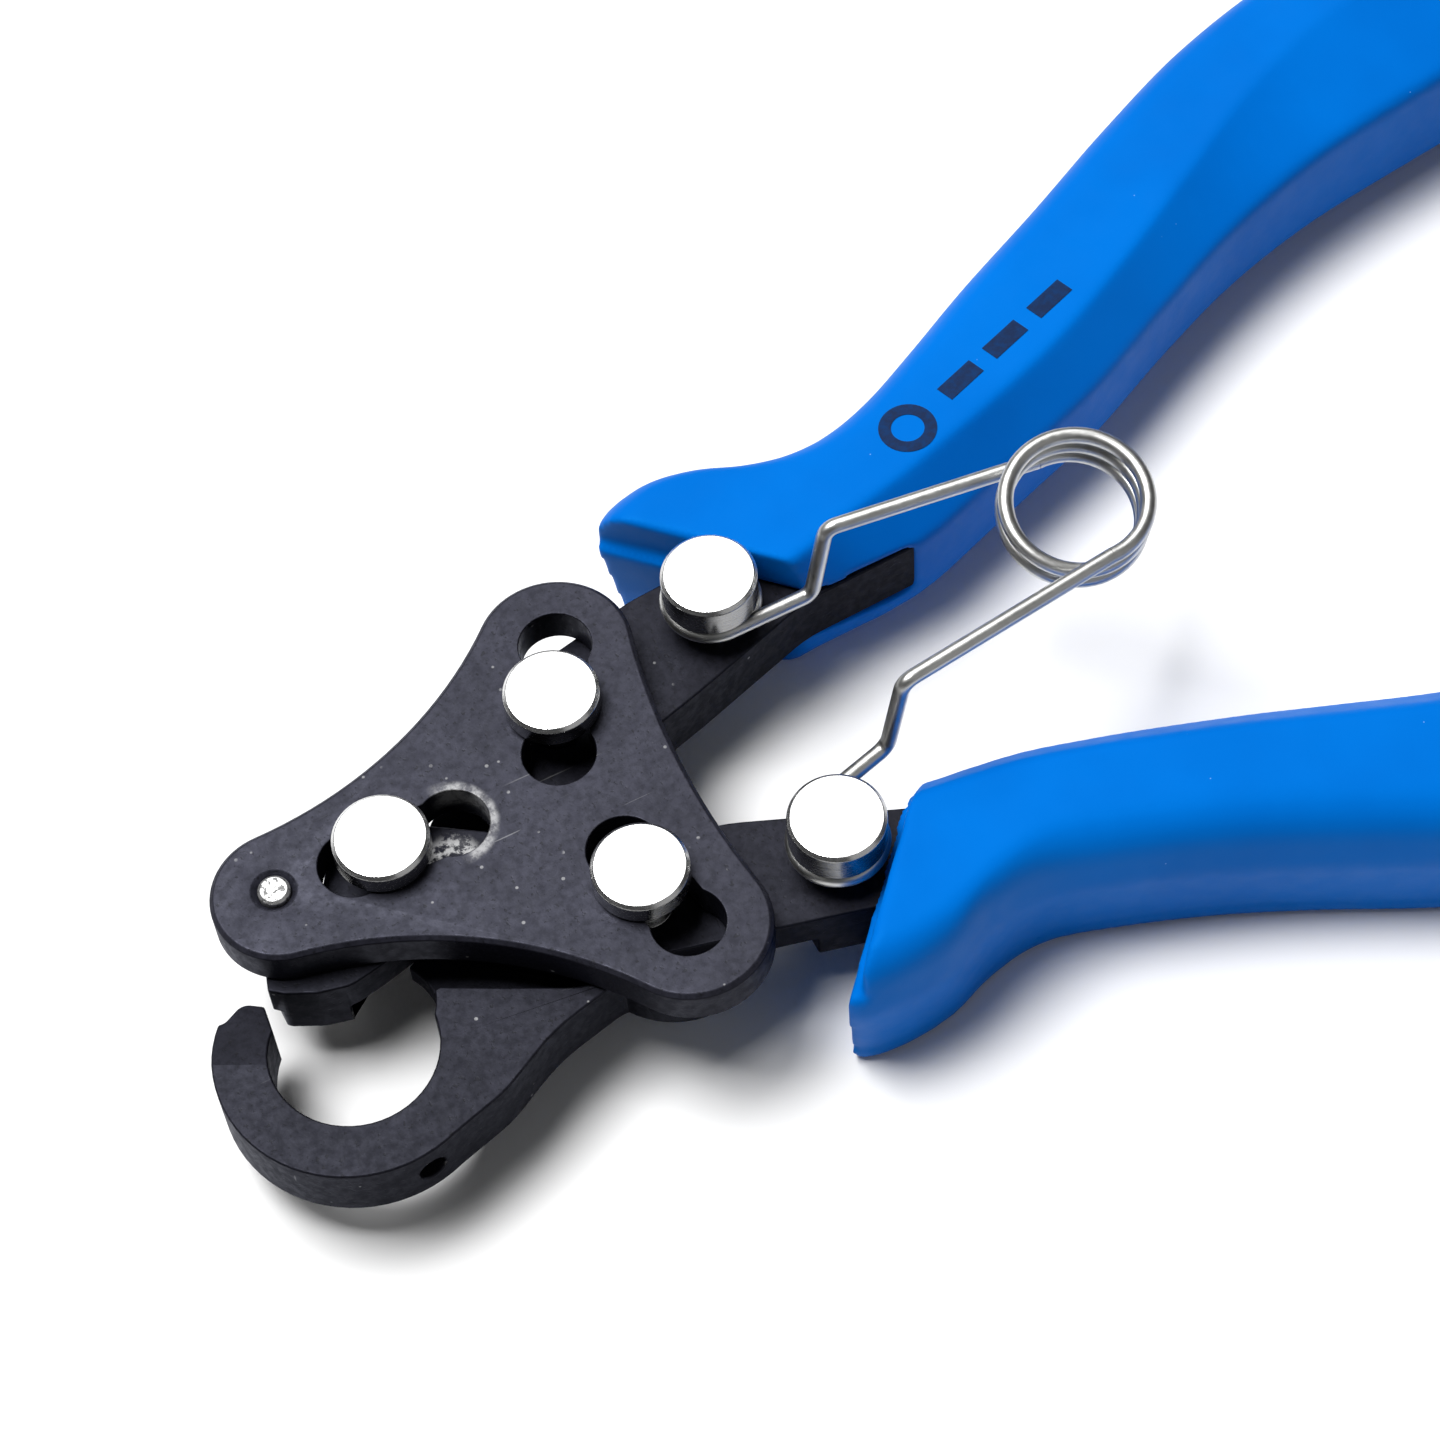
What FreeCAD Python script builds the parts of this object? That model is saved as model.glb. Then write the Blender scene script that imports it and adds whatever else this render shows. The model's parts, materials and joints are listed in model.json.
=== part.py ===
"""Looping pliers: two crossed levers, a floating guide plate on headed pins, a return spring and two grips.

Plan positions are measured from the guide plate's centre, heights from the surface that the pliers lie on.
"""

import FreeCAD, Part
import math
import os

V = FreeCAD.Vector
doc = FreeCAD.newDocument("looping_pliers")

# ------------------------------------------------------------------ driving dimensions, mm and degrees
SIZES = {
    # place of the guide plate's centre in the part's frame
    "plate_centre_x": -45.1, "plate_centre_y": 0.7,
    # levels
    "grip_thickness": 13.0, "steel_bottom": 4.2, "steel_thickness": 5.0,
    "ring_lap_depth": 3.2, "anvil_lap_depth": 2.1,
    "plate_gap": 0.3, "plate_thickness": 3.0, "head_gap": 0.3,
    # guide plate: three lobes joined by hollow sides, and three radial slots
    "left_lobe_reach": 20.25, "left_lobe_angle": 177.9, "left_lobe_radius": 4.95,
    "top_lobe_reach": 10.6, "top_lobe_angle": 66.9, "top_lobe_radius": 5.47,
    "right_lobe_reach": 14.32, "right_lobe_angle": -78.2, "right_lobe_radius": 5.6,
    "top_side_radius": 30.0, "right_side_radius": 56.0, "bottom_side_radius": 30.6,
    "slot_end_radius": 2.55, "slot_neck_width": 4.4, "plate_chamfer": 0.3,
    "left_slot_inner": 7.9, "left_slot_outer": 15.0, "left_slot_angle": 178.0,
    "top_slot_inner": 2.05, "top_slot_outer": 10.68, "top_slot_angle": 66.6,
    "right_slot_inner": 7.13, "right_slot_outer": 14.19, "right_slot_angle": -78.4,
    # headed pins
    "head_radius": 3.35, "head_height": 1.7, "head_chamfer": 0.25, "shank_radius": 1.5,
    "pivot_x": 1.5, "pivot_y": -9.6, "pivot_radius": 2.0, "pivot_clearance": 0.05,
    "top_pin_x": 2.05, "top_pin_y": 5.45, "nose_pin_x": -12.9, "nose_pin_y": 0.5,
    "washer_radius": 4.0, "washer_thickness": 0.7, "washer_gap": 0.3, "tail_radius": 2.8, "tail_height": 0.8,
    # mandrel that the wire is bent round
    "mandrel_x": -20.65, "mandrel_y": 1.2, "mandrel_radius": 1.125, "mandrel_drop": 4.6,
    "mandrel_rise": 0.15, "mandrel_chamfer": 0.2, "mandrel_countersink": 0.45,
    # ring jaw
    "ring_x": -20.3, "ring_y": -10.25, "ring_outer_radius": 9.5, "ring_hole_radius": 5.75,
    "horn_relief_x": -18.7, "horn_relief_y": -7.6, "horn_relief_radius": 5.1,
    "tip_flat_angle": 160.0, "tip_flat_turn": -27.0, "tip_flat_lean": 10.0,
    "wire_hole_radius": 1.0, "wire_hole_angle": -82.0,
    "pivot_boss_x": 3.0, "pivot_boss_y": -10.7, "pivot_boss_radius": 6.3, "top_boss_radius": 5.1,
    # spring posts and return spring
    "upper_post_x": 15.7, "upper_post_y": 8.75, "lower_post_x": 14.7, "lower_post_y": -12.5,
    "post_radius": 2.4, "post_tenon_radius": 1.75, "post_head_radius": 3.4, "post_head_height": 2.5,
    "post_shank_height": 2.9,
    "wire_radius": 0.55, "weld_radius": 0.63, "weld_gap": 0.15, "eye_radius": 3.03, "eye_level": 11.4,
    "upper_bend_x": 22.1, "upper_bend_y": 5.8, "upper_step_x": 23.8, "upper_step_y": 6.7,
    "lower_bend_x": 21.0, "lower_bend_y": -7.6, "lower_step_x": 22.2, "lower_step_y": -7.8,
    "coil_x": 39.3, "coil_y": -0.4, "coil_radius": 4.86, "coil_pitch": 1.16, "coil_turns": 2.5,
    "coil_middle_level": 18.1,
    # grips
    "grip_edge_radius": 1.2,
}

sheet = doc.addObject("Spreadsheet::Sheet", "Sizes")
for row, (alias, value) in enumerate(SIZES.items(), start=1):
    sheet.set(f"A{row}", alias)
    sheet.set(f"B{row}", str(value))
    sheet.setAlias(f"B{row}", alias)
doc.recompute()


def size(alias):
    return float(sheet.get(alias))


# ------------------------------------------------------------------ plan geometry
def polar(reach, angle, centre=V(0, 0, 0)):
    turn = math.radians(angle)
    return centre + V(reach * math.cos(turn), reach * math.sin(turn), 0)


def arc(centre, radius, start, end):
    """The arc from start to end about centre, the short way round."""
    first = math.atan2(start.y - centre.y, start.x - centre.x)
    last = math.atan2(end.y - centre.y, end.x - centre.x)
    if (last - first) % (2 * math.pi) > math.pi:
        first, last = last, first
    return Part.ArcOfCircle(Part.Circle(centre, V(0, 0, 1), radius), first, last)


def rounded(corners):
    """A closed outline through corners of (x, y, corner radius): straight sides joined by tangent arcs."""
    cut = []
    for index, (x, y, radius) in enumerate(corners):
        here = V(x, y, 0)
        before = V(*corners[index - 1][:2], 0)
        after = V(*corners[(index + 1) % len(corners)][:2], 0)
        back = (before - here).normalize()
        ahead = (after - here).normalize()
        half = back.getAngle(ahead) / 2
        run = radius / math.tan(half)
        middle = (back + ahead).normalize()
        cut.append((here + back * run, here + ahead * run, here + middle * (radius / math.sin(half)), radius))
    edges = []
    for index, (entry, leave, centre, radius) in enumerate(cut):
        if radius > 0:
            edges.append(arc(centre, radius, entry, leave))
        edges.append(Part.LineSegment(leave, cut[(index + 1) % len(cut)][0]))
    return edges


def disc(x, y, radius):
    return [Part.Circle(V(x, y, 0), V(0, 0, 1), radius)]


def hollow_sided_triangle():
    """Three lobes, each joined to the next by an arc that curves inwards and touches both."""
    names = ["top", "left", "right"]
    sides = ["top_side_radius", "bottom_side_radius", "right_side_radius"]
    lobes = []
    for name in names:
        centre = polar(size(f"{name}_lobe_reach"), size(f"{name}_lobe_angle"))
        lobes.append((centre, size(f"{name}_lobe_radius")))
    touches = []
    for index, side in enumerate(sides):
        first, first_radius = lobes[index]
        last, last_radius = lobes[(index + 1) % 3]
        hollow = size(side)
        span = last - first
        one = hollow + first_radius
        two = hollow + last_radius
        along = (one ** 2 - two ** 2 + span.Length ** 2) / (2 * span.Length)
        out = math.sqrt(one ** 2 - along ** 2)
        axis = V(span).normalize()
        outwards = V(axis.y, -axis.x, 0) * -1
        if outwards.dot(first + last) < 0:
            outwards = outwards * -1
        centre = first + axis * along + outwards * out
        start = first + (centre - first).normalize() * first_radius
        end = last + (centre - last).normalize() * last_radius
        touches.append((centre, hollow, start, end))
    edges = []
    for index, (centre, hollow, start, end) in enumerate(touches):
        edges.append(arc(centre, hollow, start, end))
        lobe, radius = lobes[(index + 1) % 3]
        onwards = touches[(index + 1) % 3][2]
        first = math.atan2(end.y - lobe.y, end.x - lobe.x)
        last = math.atan2(onwards.y - lobe.y, onwards.x - lobe.x)
        edges.append(Part.ArcOfCircle(Part.Circle(lobe, V(0, 0, 1), radius), first, last))
    return edges


# ------------------------------------------------------------------ features
def place(piece, x="0", y="0", z="0"):
    """Bind a piece's Placement: x, y and z are expressions measured from the plate's centre."""
    piece.setExpression("Placement.Base.x", f"Sizes.plate_centre_x + {x}")
    piece.setExpression("Placement.Base.y", f"Sizes.plate_centre_y + {y}")
    piece.setExpression("Placement.Base.z", z)


def new_body(name):
    body = doc.addObject("PartDesign::Body", name)
    place(body)
    return body


def sketch_at(body, name, level, edges):
    """A horizontal sketch in the body, at the height that the expression level gives."""
    sketch = body.newObject("Sketcher::SketchObject", name)
    plane = [feature for feature in body.Origin.OriginFeatures if feature.Role == "XY_Plane"][0]
    sketch.AttachmentSupport = [(plane, "")]
    sketch.MapMode = "FlatFace"
    sketch.setExpression("AttachmentOffset.Base.z", level)
    for edge in edges:
        sketch.addGeometry(edge, False)
    return sketch


def pad(body, name, level, edges, length):
    feature = body.newObject("PartDesign::Pad", name)
    feature.Profile = sketch_at(body, f"{name}_outline", level, edges)
    feature.setExpression("Length", length)
    doc.recompute()
    return feature


def pocket(body, name, level, edges, depth, upwards=False):
    """Cut down from the level, or up from it, and make sure that something was cut."""
    before = body.Shape.Volume
    feature = body.newObject("PartDesign::Pocket", name)
    feature.Profile = sketch_at(body, f"{name}_outline", level, edges)
    feature.setExpression("Length", depth)
    feature.Reversed = upwards
    doc.recompute()
    if not body.Shape.Volume < before - 0.01:
        raise RuntimeError(f"{name} cut nothing")
    return feature


def lies_at(edge, height):
    return edge.BoundBox.ZLength < 1e-6 and abs(edge.BoundBox.ZMin - height) < 1e-6


def round_with(edge, alias):
    return isinstance(edge.Curve, Part.Circle) and abs(edge.Curve.Radius - size(alias)) < 1e-6


def chamfer(body, name, edges, amount):
    base = body.Tip
    names = []
    for index, edge in enumerate(body.Shape.Edges, start=1):
        if any(edge.isSame(other) for other in edges):
            names.append(f"Edge{index}")
    feature = body.newObject("PartDesign::Chamfer", name)
    feature.Base = (base, names)
    feature.setExpression("Size", amount)
    doc.recompute()
    return feature


def cylinder(name, radius, height, x="0", y="0", z="0"):
    feature = doc.addObject("Part::Cylinder", name)
    feature.setExpression("Radius", radius)
    feature.setExpression("Height", height)
    place(feature, x, y, z)
    return feature


def chamfer_rim(base, name, height, amount):
    """Chamfer the circular edge of base that lies at the given height."""
    doc.recompute()
    rims = []
    for index, edge in enumerate(base.Shape.Edges, start=1):
        if lies_at(edge, height) and isinstance(edge.Curve, Part.Circle):
            rims.append((index, amount, amount))
    feature = doc.addObject("Part::Chamfer", name)
    feature.Base = base
    feature.Edges = rims
    return feature


def fuse(name, pieces):
    feature = doc.addObject("Part::MultiFuse", name)
    feature.Shapes = pieces
    return feature


def cut(name, base, tool):
    feature = doc.addObject("Part::Cut", name)
    feature.Base = base
    feature.Tool = tool
    return feature


STEEL_TOP = "Sizes.steel_bottom + Sizes.steel_thickness"
PLATE_BOTTOM = f"{STEEL_TOP} + Sizes.plate_gap"
PLATE_TOP = f"{PLATE_BOTTOM} + Sizes.plate_thickness"
HEAD_BOTTOM = f"{PLATE_TOP} + Sizes.head_gap"
steel_top = size("steel_bottom") + size("steel_thickness")
plate_top = steel_top + size("plate_gap") + size("plate_thickness")
head_top = plate_top + size("head_gap") + size("head_height")

parts = {}


# ------------------------------------------------------------------ ring-jaw lever: upper handle to the ring
def ring_jaw_lever():
    body = new_body("RingLeverBlank")
    bottom = "Sizes.steel_bottom"
    thick = "Sizes.steel_thickness"
    # from the tang in the upper grip, over the top pin, down past the pivot and along the arm to the ring
    branch = [
        (55.5, 20.4, 2.0), (53.2, 25.4, 2.0), (40.0, 18.2, 12.0), (28.0, 13.9, 12.0), (11.0, 12.6, 12.0),
        (1.7, 10.6, 3.0), (-3.4, 8.8, 2.0), (-8.6, 4.4, 1.0), (-9.2, -2.4, 1.0), (-14.2, -4.9, 0.3),
        (-15.6, -12.0, 1.0), (-18.6, -17.8, 0.4), (-17.0, -19.15, 0.1), (-12.6, -17.9, 10.0),
        (-8.0, -15.4, 14.0), (-2.5, -14.1, 4.0), (2.5, -14.9, 2.0),
        (8.4, -12.0, 3.0), (6.4, -4.0, 4.0), (6.4, 1.9, 2.5), (12.3, 3.6, 12.0), (22.0, 6.7, 10.0),
        (31.8, 7.2, 4.0), (42.0, 12.4, 12.0),
    ]
    pad(body, "RingLeverBranch", bottom, rounded(branch), thick)
    boss = disc(size("top_pin_x"), size("top_pin_y"), size("top_boss_radius"))
    pad(body, "RingLeverTopBoss", bottom, boss, thick)
    boss = disc(size("pivot_boss_x"), size("pivot_boss_y"), size("pivot_boss_radius"))
    pad(body, "RingLeverPivotBoss", bottom, boss, thick)
    outside = disc(size("ring_x"), size("ring_y"), size("ring_outer_radius"))
    pad(body, "RingLeverRing", bottom, outside, thick)
    inside = disc(size("ring_x"), size("ring_y"), size("ring_hole_radius"))
    pocket(body, "RingLeverHole", STEEL_TOP, inside, thick)
    relief = disc(size("horn_relief_x"), size("horn_relief_y"), size("horn_relief_radius"))
    pocket(body, "RingLeverRelief", STEEL_TOP, relief, thick)
    # the mouth that the nose enters, between the horn and the tip of the ring
    ring = V(size("ring_x"), size("ring_y"), 0)
    mouth = [
        (ring.x, ring.y, 0), (-15.5, -6.0, 0), (-14.2, -4.9, 0), (-9.4, -2.5, 0), (-9.4, 4.0, 0),
        (-31.0, 4.0, 0), (-31.0, -4.0, 0), (-27.2, -4.3, 0), (-25.6, -3.4, 1.0), (-24.35, -4.3, 0),
        (-24.6, -6.5, 0),
    ]
    pocket(body, "RingLeverMouth", STEEL_TOP, rounded(mouth), thick)
    # half lap: the other lever passes over this one here
    lap = [
        (11.0, -4.2, 0), (3.0, -4.6, 0), (-3.4, 0.2, 0), (-3.4, 9.2, 0), (-16.0, 9.2, 0),
        (-16.0, -9.2, 0), (-13.4, -8.9, 0), (-9.7, -10.9, 0), (-5.5, -13.1, 0), (-1.2, -14.4, 0),
        (-1.2, -20.0, 0), (11.0, -20.0, 0),
    ]
    pocket(body, "RingLeverLap", STEEL_TOP, rounded(lap), "Sizes.ring_lap_depth")
    bore = disc(size("pivot_x"), size("pivot_y"), size("pivot_radius") + size("pivot_clearance"))
    pocket(body, "RingLeverBore", STEEL_TOP, bore, thick)
    top_hole = disc(size("top_pin_x"), size("top_pin_y"), size("shank_radius"))
    pocket(body, "RingLeverPinHole", STEEL_TOP, top_hole, thick)
    post_hole = disc(size("upper_post_x"), size("upper_post_y"), size("post_tenon_radius"))
    pocket(body, "RingLeverPostHole", STEEL_TOP, post_hole, thick)
    # the wire hole runs from the ring's hole out through its wall
    drill = cylinder("WireDrill", "Sizes.wire_hole_radius", "Sizes.ring_outer_radius + 2",
                     "Sizes.ring_x", "Sizes.ring_y", "Sizes.steel_bottom + Sizes.steel_thickness / 2")
    drill.Placement.Rotation = FreeCAD.Rotation(V(0, 0, 1), polar(1, size("wire_hole_angle")))
    # a flat ground on the ring's tip leans down towards the mouth
    flat = doc.addObject("Part::Box", "TipFlat")
    flat.setExpression("Length", "Sizes.ring_outer_radius")
    flat.setExpression("Width", "Sizes.ring_outer_radius")
    flat.setExpression("Height", "Sizes.steel_thickness")
    edge = polar(size("ring_outer_radius") + 1, size("tip_flat_angle"), ring)
    turn = FreeCAD.Rotation(V(0, 0, 1), size("tip_flat_turn"))
    lean = FreeCAD.Rotation(V(1, 0, 0), -size("tip_flat_lean"))
    flat.Placement.Rotation = turn.multiply(lean)
    place(flat, f"{edge.x:.4f}", f"{edge.y:.4f}", STEEL_TOP)
    tools = fuse("RingLeverTools", [drill, flat])
    return cut("RingLever", body, tools)


# ------------------------------------------------------------------ anvil-jaw lever: lower handle to the nose
def anvil_jaw_lever():
    body = new_body("AnvilLever")
    bottom = "Sizes.steel_bottom"
    thick = "Sizes.steel_thickness"
    # from the tang in the lower grip, over the pivot and the nose pin to the nose
    branch = [
        (54.0, -24.4, 2.0), (36.0, -17.2, 14.0), (24.0, -12.8, 14.0), (9.0, -6.6, 12.0), (3.0, -5.4, 8.0),
        (-9.4, 3.0, 3.0), (-16.0, 3.9, 1.6), (-17.3, 1.8, 0.8), (-17.8, -0.9, 0.8), (-22.0, -0.9, 0.6),
        (-23.3, -2.3, 0.2), (-23.75, -3.8, 0.2), (-22.9, -4.5, 1.0), (-20.9, -5.5, 2.0), (-18.6, -6.05, 2.5),
        (-16.3, -5.6, 1.0), (-13.4, -4.9, 0.8), (-9.4, -7.7, 4.0), (-5.8, -10.6, 4.0), (-2.8, -12.2, 3.0),
        (0.2, -13.5, 3.0), (8.4, -15.5, 12.0), (14.1, -16.9, 12.0),
        (24.0, -19.6, 14.0), (36.0, -22.4, 14.0), (52.4, -29.4, 2.0),
    ]
    pad(body, "AnvilLeverBranch", bottom, rounded(branch), thick)
    # the lower half is cut away where the other lever passes under this one, and beside the nose's foot
    lap = [
        (-18.9, -9.0, 0), (-18.9, -2.6, 0), (-14.4, -2.6, 0), (-13.8, -1.45, 0), (-10.6, -0.9, 0),
        (-9.6, 3.0, 0), (-9.2, 6.0, 0), (11.2, 6.0, 0), (11.2, -20.0, 0), (-6.0, -20.0, 0),
    ]
    pocket(body, "AnvilLeverLap", bottom, rounded(lap), "Sizes.anvil_lap_depth", upwards=True)
    step = [(-27.0, -8.0, 0), (-23.2, -8.0, 0), (-23.2, -2.6, 0), (-27.0, -2.6, 0)]
    pocket(body, "AnvilLeverStep", bottom, rounded(step), "Sizes.anvil_lap_depth", upwards=True)
    pivot_hole = disc(size("pivot_x"), size("pivot_y"), size("pivot_radius"))
    pocket(body, "AnvilLeverBore", STEEL_TOP, pivot_hole, thick)
    nose_hole = disc(size("nose_pin_x"), size("nose_pin_y"), size("shank_radius"))
    pocket(body, "AnvilLeverPinHole", STEEL_TOP, nose_hole, thick)
    post_hole = disc(size("lower_post_x"), size("lower_post_y"), size("post_tenon_radius"))
    pocket(body, "AnvilLeverPostHole", STEEL_TOP, post_hole, thick)
    return body


# ------------------------------------------------------------------ guide plate
def guide_plate():
    body = new_body("GuidePlate")
    pad(body, "GuidePlateBlank", PLATE_BOTTOM, hollow_sided_triangle(), "Sizes.plate_thickness")
    ends = []
    necks = []
    for name in ("left", "top", "right"):
        angle = size(f"{name}_slot_angle")
        inner = polar(size(f"{name}_slot_inner"), angle)
        outer = polar(size(f"{name}_slot_outer"), angle)
        for centre in (inner, outer):
            ends += disc(centre.x, centre.y, size("slot_end_radius"))
        side = polar(size("slot_neck_width") / 2, angle + 90)
        corners = [inner - side, outer - side, outer + side, inner + side]
        necks += rounded([(corner.x, corner.y, 0) for corner in corners])
    pocket(body, "GuidePlateSlotEnds", PLATE_TOP, ends, "Sizes.plate_thickness")
    pocket(body, "GuidePlateSlotNecks", PLATE_TOP, necks, "Sizes.plate_thickness")
    hole = disc(size("mandrel_x"), size("mandrel_y"), size("mandrel_radius"))
    pocket(body, "GuidePlateMandrelHole", PLATE_TOP, hole, "Sizes.plate_thickness")
    top_face = max(body.Shape.Faces, key=lambda face: (round(face.CenterOfMass.z, 6), face.Area))
    chamfer(body, "GuidePlateRim", top_face.OuterWire.Edges, "Sizes.plate_chamfer")
    rims = [edge for edge in body.Shape.Edges if lies_at(edge, plate_top)]
    holes = [edge for edge in rims if round_with(edge, "mandrel_radius")]
    chamfer(body, "GuidePlateCountersink", holes, "Sizes.mandrel_countersink")
    return body


# ------------------------------------------------------------------ headed pins
def headed_pin(name, x, y, extra=None):
    """A guide pin: shank from the steel's underside up through the plate, and a chamfered head."""
    shank = cylinder(f"{name}Shank", "Sizes.shank_radius", f"{HEAD_BOTTOM} - Sizes.steel_bottom",
                     x, y, "Sizes.steel_bottom")
    head = cylinder(f"{name}Head", "Sizes.head_radius", "Sizes.head_height", x, y, HEAD_BOTTOM)
    solids = [shank, head] + (extra or [])
    return chamfer_rim(fuse(f"{name}Blank", solids), name, head_top, size("head_chamfer"))


def pivot_pin():
    x = "Sizes.pivot_x"
    y = "Sizes.pivot_y"
    washer_level = "Sizes.steel_bottom - Sizes.washer_gap - Sizes.washer_thickness"
    tail_level = f"{washer_level} - Sizes.tail_height"
    journal_height = f"{STEEL_TOP} - ({washer_level})"
    journal = cylinder("PivotJournal", "Sizes.pivot_radius", journal_height, x, y, washer_level)
    tail = cylinder("PivotTail", "Sizes.tail_radius", "Sizes.tail_height", x, y, tail_level)
    return headed_pin("PivotPin", x, y, [journal, tail])


def pivot_washer():
    x = "Sizes.pivot_x"
    y = "Sizes.pivot_y"
    level = "Sizes.steel_bottom - Sizes.washer_gap - Sizes.washer_thickness"
    ring = cylinder("WasherBlank", "Sizes.washer_radius", "Sizes.washer_thickness", x, y, level)
    hole = cylinder("WasherHole", "Sizes.pivot_radius", "Sizes.washer_thickness", x, y, level)
    return cut("PivotWasher", ring, hole)


def mandrel_pin():
    top = plate_top + size("mandrel_rise")
    pin = cylinder("MandrelBlank", "Sizes.mandrel_radius",
                   "Sizes.mandrel_drop + Sizes.plate_thickness + Sizes.mandrel_rise",
                   "Sizes.mandrel_x", "Sizes.mandrel_y", f"{PLATE_BOTTOM} - Sizes.mandrel_drop")
    return chamfer_rim(pin, "MandrelPin", top, size("mandrel_chamfer"))


def spring_post(name, x, y):
    """A post for the spring's eye: tenon in the lever, shank, and a head over the wire."""
    tenon = cylinder(f"{name}Tenon", "Sizes.post_tenon_radius", "Sizes.steel_thickness",
                     x, y, "Sizes.steel_bottom")
    shank = cylinder(f"{name}Shank", "Sizes.post_radius", "Sizes.post_shank_height", x, y, STEEL_TOP)
    head = cylinder(f"{name}Head", "Sizes.post_head_radius", "Sizes.post_head_height",
                    x, y, f"{STEEL_TOP} + Sizes.post_shank_height")
    top = steel_top + size("post_shank_height") + size("post_head_height")
    return chamfer_rim(fuse(f"{name}Blank", [tenon, shank, head]), name, top, size("head_chamfer"))


# ------------------------------------------------------------------ return spring
def return_spring():
    """One wire: an eye round each post, a step up over the grip, an arm, and the coil between the arms."""
    wire = size("wire_radius")
    low = size("eye_level")
    coil = V(size("coil_x"), size("coil_y"), size("coil_middle_level"))
    rise = size("coil_turns") * size("coil_pitch")
    solids = []
    for name, side in (("upper", 1), ("lower", -1)):
        post = V(size(f"{name}_post_x"), size(f"{name}_post_y"), low)
        start = post + V(0, -side * size("eye_radius"), 0)
        bend = V(size(f"{name}_bend_x"), size(f"{name}_bend_y"), low)
        end = coil + V(0, size("coil_radius"), -rise / 2) * side
        step = V(size(f"{name}_step_x"), size(f"{name}_step_y"), end.z)
        stop = end - V(size("weld_gap"), 0, 0)
        solids.append(Part.makeTorus(size("eye_radius"), wire, post, V(0, 0, 1)))
        for here, there in ((start, bend), (bend, step), (step, stop)):
            solids.append(Part.makeCylinder(wire, (there - here).Length, here, there - here))
        for corner in (bend, step):
            solids.append(Part.makeSphere(wire, corner))
        # a slightly fuller ball joins the straight arm to the sloping end of the winding
        solids.append(Part.makeSphere(size("weld_radius"), end))
    helix = Part.makeHelix(size("coil_pitch"), rise, size("coil_radius"))
    section = Part.Circle(V(size("coil_radius"), 0, 0), V(0, 1, 0), wire)
    halves = [Part.ArcOfCircle(section, turn, turn + math.pi).toShape() for turn in (0, math.pi)]
    winding = Part.Wire(helix.Edges).makePipeShell([Part.Wire(halves)], True, True)
    # wound clockwise, so that both arms run into the winding along its tangent
    winding = winding.mirror(V(0, 0, 0), V(0, 1, 0))
    winding.Placement = FreeCAD.Placement(coil - V(0, 0, rise / 2), FreeCAD.Rotation(V(0, 0, 1), 90))
    solids.append(winding)
    feature = doc.addObject("Part::Feature", "ReturnSpring")
    feature.Shape = solids[0].multiFuse(solids[1:])
    place(feature)
    return feature


# ------------------------------------------------------------------ grips
def grip(name, outline, tang, window):
    """A moulded handle: rounded slab, slotted for the tang, with its front cut open to the steel."""
    body = new_body(name)
    blank = pad(body, f"{name}Blank", "0", rounded(outline), "Sizes.grip_thickness")
    soft = body.newObject("PartDesign::Fillet", f"{name}Edges")
    rims = []
    for index, edge in enumerate(blank.Shape.Edges, start=1):
        if edge.BoundBox.ZLength < 1e-6:
            rims.append(f"Edge{index}")
    soft.Base = (blank, rims)
    soft.setExpression("Radius", "Sizes.grip_edge_radius")
    doc.recompute()
    pocket(body, f"{name}Tang", STEEL_TOP, rounded(tang), "Sizes.steel_thickness")
    pocket(body, f"{name}Window", "Sizes.grip_thickness", rounded(window),
           f"Sizes.grip_thickness - ({STEEL_TOP})")
    return body


def upper_grip():
    outline = [
        (9.8, 18.6, 1.8), (15.4, 20.6, 3.0), (25.0, 16.3, 6.0), (33.0, 18.4, 20.0), (44.0, 24.4, 40.0),
        (60.2, 32.7, 40.0), (80.0, 39.6, 40.0), (103.0, 39.4, 30.0), (120.0, 35.0, 5.0), (119.0, 25.0, 5.0),
        (100.0, 26.0, 30.0), (84.6, 24.2, 40.0), (67.3, 20.8, 30.0), (50.0, 13.3, 40.0), (38.0, 8.6, 20.0),
        (31.0, 6.9, 10.0), (21.5, 6.9, 1.0),
    ]
    # the slot is open towards the other handle, so that the tang's edge lies bare there
    tang = [
        (55.5, 20.4, 2.0), (53.2, 25.4, 2.0), (40.0, 18.2, 12.0), (28.0, 13.9, 12.0), (11.0, 12.6, 12.0),
        (5.0, 12.0, 0.0), (5.0, 0.0, 0.0), (30.6, 0.0, 0.0), (30.6, 7.13, 0.0), (31.8, 7.2, 0.0),
        (42.0, 12.4, 12.0),
    ]
    window = [(4.0, 25.6, 0), (24.6, 5.0, 0), (4.0, 5.0, 0)]
    return grip("UpperGrip", outline, tang, window)


def lower_grip():
    outline = [
        (20.8, -10.4, 1.3), (31.9, -12.0, 20.0), (44.5, -16.2, 30.0), (57.0, -20.6, 30.0),
        (80.0, -26.5, 30.0), (100.0, -27.8, 30.0), (119.0, -26.5, 5.0), (120.0, -37.0, 5.0),
        (100.0, -41.4, 30.0), (78.0, -40.9, 30.0), (50.9, -31.9, 30.0), (36.1, -24.8, 20.0),
        (25.4, -21.2, 10.0), (17.8, -24.0, 3.0), (9.6, -22.9, 1.3),
    ]
    tang = [
        (54.0, -24.4, 2.0), (36.0, -17.2, 14.0), (24.0, -12.8, 14.0), (10.0, -6.9, 0.0), (8.0, -15.4, 0.0),
        (14.1, -16.9, 12.0), (24.0, -19.6, 14.0), (36.0, -22.4, 14.0), (52.4, -29.4, 2.0),
    ]
    window = [(8.0, -5.0, 0), (21.4, -5.0, 0), (21.4, -10.8, 0.5), (12.4, -20.6, 0.5), (8.0, -20.6, 0)]
    return grip("LowerGrip", outline, tang, window)


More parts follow.
